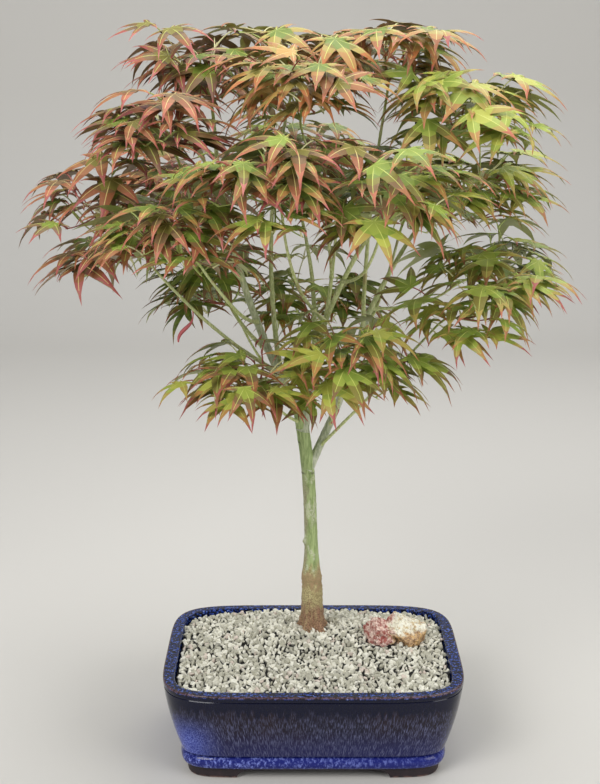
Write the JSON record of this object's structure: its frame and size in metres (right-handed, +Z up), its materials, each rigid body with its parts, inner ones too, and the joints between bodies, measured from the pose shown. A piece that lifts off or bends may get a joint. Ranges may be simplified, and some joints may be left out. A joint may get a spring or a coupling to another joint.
{
  "type": "potted japanese maple bonsai",
  "caption": "Young japanese maple grown as a bonsai: slim forked trunk and airy crown of lobed leaves, in a rectangular glazed tray filled with gravel and a small stone.",
  "frame": {"origin": "under the middle of the plant's outer box, on the plane that the pot's feet stand on", "axes": "+Z up, +X to the right of the front, along the pot's long side, -Y towards the front"},
  "size_m": [0.46, 0.4064, 0.6125],
  "materials": {
    "pot_glaze": "glossy cobalt and indigo streaked glaze, brown unglazed feet",
    "gravel": "loose matt angular grains",
    "viewing_stone": "matt, porous, cream and reddish pink",
    "bark": "matt grey-green bark, rough tan foot",
    "young_bark": "satin green bark",
    "leaves_red": "satin leaf, rusty red and salmon",
    "leaves_orange": "satin leaf, orange and gold",
    "leaves_green": "satin leaf, green and yellow-green"
  },
  "bodies": {
    "root": {"bough_back": "young_bark", "bough_back_left": "young_bark", "bough_back_low": "young_bark", "bough_back_right": "young_bark", "bough_front": "young_bark", "bough_front_high": "young_bark", "bough_front_left": "young_bark", "bough_front_middle": "young_bark", "bough_front_right": "young_bark", "bough_heart": "young_bark", "bough_inner_left": "young_bark", "bough_leader": "young_bark", "bough_lower_right": "young_bark", "bough_middle": "young_bark", "bough_outer_left": "young_bark", "bough_right": "young_bark", "bough_right_outer": "young_bark", "bough_right_shelf": "young_bark", "bough_skirt_left": "young_bark", "bough_skirt_right": "young_bark", "bough_top_middle": "young_bark", "bough_top_right": "young_bark", "bough_upper_left": "young_bark", "gravel": "gravel", "leaves_back_left": "leaves_red", "leaves_back_low": "leaves_green", "leaves_back_middle": "leaves_green", "leaves_back_right": "leaves_green", "leaves_front_high": "leaves_orange", "leaves_front_left": "leaves_red", "leaves_front_middle": "leaves_green", "leaves_front_right": "leaves_green", "leaves_heart": "leaves_green", "leaves_inner_left": "leaves_red", "leaves_lower_right": "leaves_green", "leaves_outer_left": "leaves_red", "leaves_outer_right": "leaves_green", "leaves_right_shelf": "leaves_green", "leaves_skirt_left": "leaves_green", "leaves_skirt_right": "leaves_green", "leaves_top_left": "leaves_red", "leaves_top_middle": "leaves_orange", "leaves_top_right": "leaves_orange", "leaves_upper_left": "leaves_red", "leaves_upper_right": "leaves_green", "pot": "pot_glaze", "stone": "viewing_stone", "trunk": "bark"}
  },
  "joints": []
}
